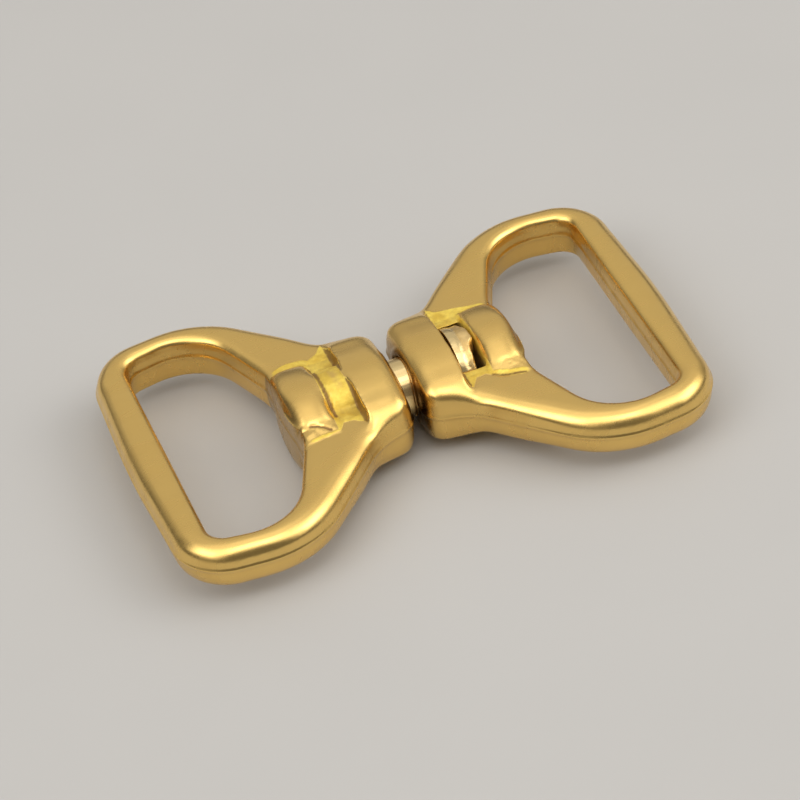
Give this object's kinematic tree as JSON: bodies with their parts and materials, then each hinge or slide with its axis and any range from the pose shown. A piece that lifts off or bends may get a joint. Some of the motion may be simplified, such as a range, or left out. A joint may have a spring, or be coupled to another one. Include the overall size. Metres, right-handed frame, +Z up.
{
  "type": "double-ended swivel connector",
  "caption": "Brass swivel connector with a cast webbing loop at each end, joined by a headed pin so that the loops turn freely about the long axis.",
  "frame": {"origin": "on the swivel axis, midway between the two collars, at the middle of the thickness", "axes": "+X along the swivel axis towards the turning eye, +Y across the loops, +Z up"},
  "size_m": [0.038, 0.0244, 0.0058],
  "materials": {
    "cast_brass": "cast, tumbled and buffed, with raw yellow casting skin left in the recesses",
    "turned_brass": "turned smooth, its head hammered over"
  },
  "bodies": {
    "fixed_end": {"fixed_eye": "cast_brass", "swivel_pin": "turned_brass"},
    "turning_end": {"turning_eye": "cast_brass"}
  },
  "joints": [
    {"name": "swivel", "type": "hinge", "parent": "fixed_end", "child": "turning_end", "pos_m": [0, 0, 0], "axis": [1, 0, 0], "continuous": true}
  ]
}
